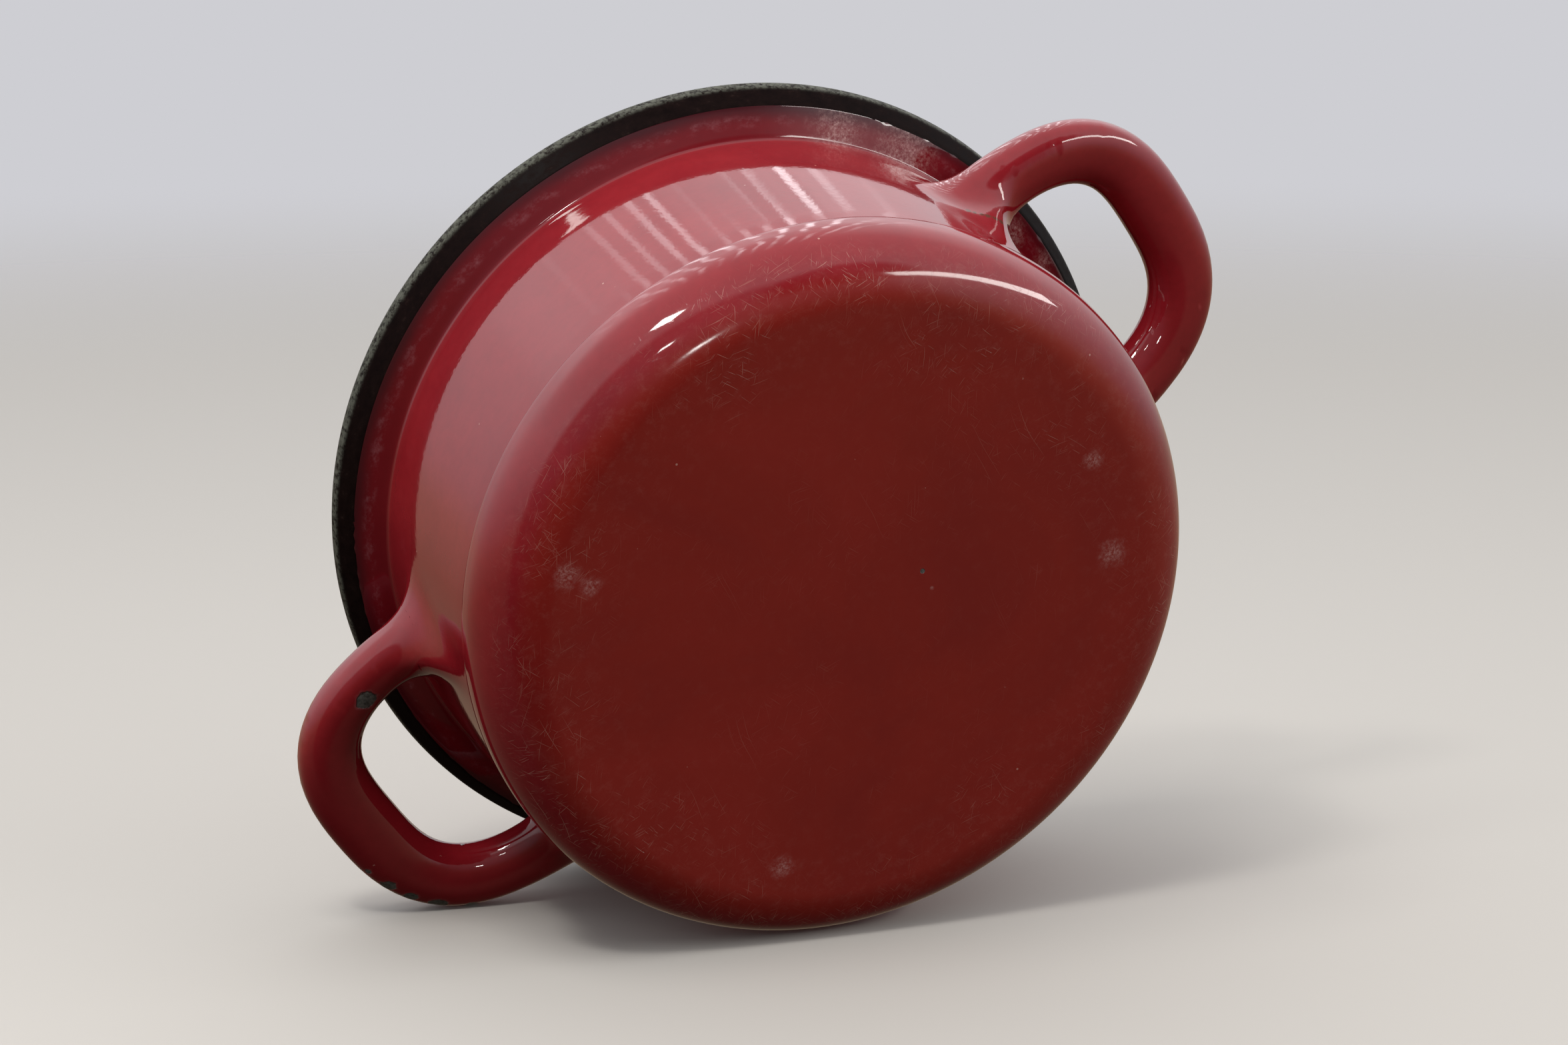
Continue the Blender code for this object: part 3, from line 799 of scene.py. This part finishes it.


# Wear: places on the pot with the size of each mark. About half were found by casting rays through
# marks that the photograph shows, and the others were set between or near those.
RUBS = [((0.0735, 0.0086, 0.0), 0.0040), ((0.0641, 0.0354, 0.0), 0.0055),
        ((-0.0558, 0.0490, 0.0), 0.0045), ((-0.0537, -0.0604, 0.0), 0.0050),
        ((-0.0507, -0.0541, 0.0), 0.0040), ((0.0195, 0.0090, 0.0), 0.0008),
        ((0.0900, -0.0520, 0.0880), 0.0130), ((0.0780, -0.0690, 0.0880), 0.0110),
        ((0.1044, -0.0116, 0.0862), 0.0060), ((0.1071, 0.0019, 0.0877), 0.0050)]
CRACK = [((0.0905, -0.0456, 0.0499), 0.0012), ((0.0914, -0.0443, 0.0492), 0.0010),
         ((0.0924, -0.0429, 0.0486), 0.0011), ((0.0935, -0.0415, 0.0480), 0.0012),
         ((0.0947, -0.0399, 0.0475), 0.0011), ((0.0959, -0.0383, 0.0470), 0.0013)]
CHIPS = [((-0.1154, -0.0352, 0.0593), 0.0029), ((-0.1445, 0.0100, 0.0650), 0.0016),
         ((-0.1432, 0.0170, 0.0645), 0.0026), ((-0.1405, 0.0240, 0.0642), 0.0024),
         ((-0.1365, 0.0310, 0.0640), 0.0030), ((-0.1300, 0.0385, 0.0640), 0.0022),
         ((0.1010, 0.0010, 0.0620), 0.0008), ((0.0200, 0.0031, 0.0), 0.0007)]
# Scratches under the base: direction in degrees, length, width, and how rare they are
SCRATCHES = [(12, 0.0100, 0.00022, 0.715), (71, 0.0070, 0.00021, 0.71), (128, 0.0120, 0.00022, 0.72),
             (160, 0.0055, 0.00020, 0.705), (98, 0.0420, 0.00026, 0.735)]

# Light of the room, by the sine of the height above the table, and the lamps: azimuth and
# elevation as the table sees them, distance, width, height, power, and whether it shows in the gloss
ROOM = [(-0.90, (0.04, 0.030, 0.022)), (-0.52, (0.15, 0.120, 0.085)), (-0.22, (0.32, 0.240, 0.165)),
        (-0.08, (0.48, 0.42, 0.34)), (0.03, (0.62, 0.62, 0.63)), (0.20, (0.92, 0.92, 0.96)),
        (0.42, (1.25, 1.25, 1.30)), (1.00, (1.00, 1.00, 1.02))]
BACKDROP = rgba(206, 206, 211)
FLOOR = rgba(170, 167, 162)
LIGHTS = [("key", -147, 54, 1.3, 0.20, 0.11, 4.5, True), ("window", 108, 28, 1.6, 1.3, 0.14, 7.0, True),
          ("lamp", 162, 6, 1.8, 0.12, 0.07, 1.0, True), ("fill", -176, 28, 1.6, 0.10, 0.05, 0.5, True),
          ("soft", -140, 64, 1.5, 0.8, 0.5, 12.0, False)]
CURTAIN = (141, 32)      # azimuth and elevation of the room's dark patch

# The lamp for the side that the photographed pose turns down, its direction in the object's frame
BACK_LIGHT = ("back", Vector((0.25, 0.75, 0.60)).normalized(), 1.5, 1.0, 0.8, 9.0, False)

# Half widths of the table's plane and of the plane under the base, and how far below it that lies
TABLE_HALF, STAND_HALF, STAND_DROP = 2.2, 1.2, 0.0002


def cover_faces(obj, materials, *tests):
    """Gives the faces for which a test(centre, normal) holds the material that follows the first."""
    mesh = obj.data
    mesh.materials.clear()
    for material in materials:
        mesh.materials.append(material)
    count = len(mesh.polygons)
    centre, normal = np.zeros(count * 3, np.float32), np.zeros(count * 3, np.float32)
    mesh.polygons.foreach_get("center", centre)
    mesh.polygons.foreach_get("normal", normal)
    chosen = np.zeros(count, np.int32)
    for index, test in enumerate(tests, 1):
        chosen[test(centre.reshape(-1, 3), normal.reshape(-1, 3))] = index
    mesh.polygons.foreach_set("material_index", chosen)


def main():
    inside = enamel_inside()
    pot = build_pot()
    lid, knob_foot = build_lid()
    knob = build_knob(knob_foot)

    def in_rim(c, _):
        return c[:, 2] > RIDGE_Z

    def under_lid(c, n):
        return (n[:, 2] < -0.2) | (c[:, 2] < SEAT_Z + GAP)

    def in_pot(c, _):
        r = np.hypot(c[:, 0], c[:, 1])
        limit = np.where(c[:, 2] > RIM_Z, MOUTH_R + 0.0006, wall_radius(c[:, 2]) - SKIN)
        return (r < limit) & (c[:, 2] > BASE_T - 0.001)

    cover_faces(pot, [enamel_outside(), enamel_rim(), inside], in_rim, in_pot)
    cover_faces(lid, [enamel_lid(), inside], under_lid)
    knob.data.materials.append(phenolic())
    for obj, body, slot, node in ((pot, "pot", "enamel", "pot_body"), (lid, "lid", "enamel", "lid"),
                                  (knob, "lid", "knob", "lid_knob")):
        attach(obj, body)
        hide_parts(node)
    brass = turned_metal("brass_turned", linear(150, 112, 52), linear(206, 170, 96), 0.22)
    steel = turned_metal("steel_zinc_plated", linear(132, 132, 130), linear(188, 188, 184), 0.24)
    for node, metal in (("knob_insert", brass), ("knob_screw", steel), ("knob_washer", steel),
                        ("spring_washer", steel)):
        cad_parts[node].data.materials[0] = metal

    camera = place_camera()
    view_dir = (CAMERA_AIM - camera.location).normalized()
    ahead = (view_dir - TABLE_UP * view_dir.dot(TABLE_UP)).normalized()
    studio(ahead)
    floor("floor", TABLE_UP, -TABLE_UP * TABLE_DISTANCE, TABLE_HALF)
    floor("stand", Vector((0, 0, 1)), Vector((0, 0, -STAND_DROP)), STAND_HALF)
    for name, azimuth, elevation, distance, width, height, power, mirrored in LIGHTS:
        softbox(name, room_direction(ahead, azimuth, elevation), distance, width, height, power, mirrored)
    softbox(*BACK_LIGHT)
    bpy.context.scene.view_settings.view_transform = "Standard"


main()
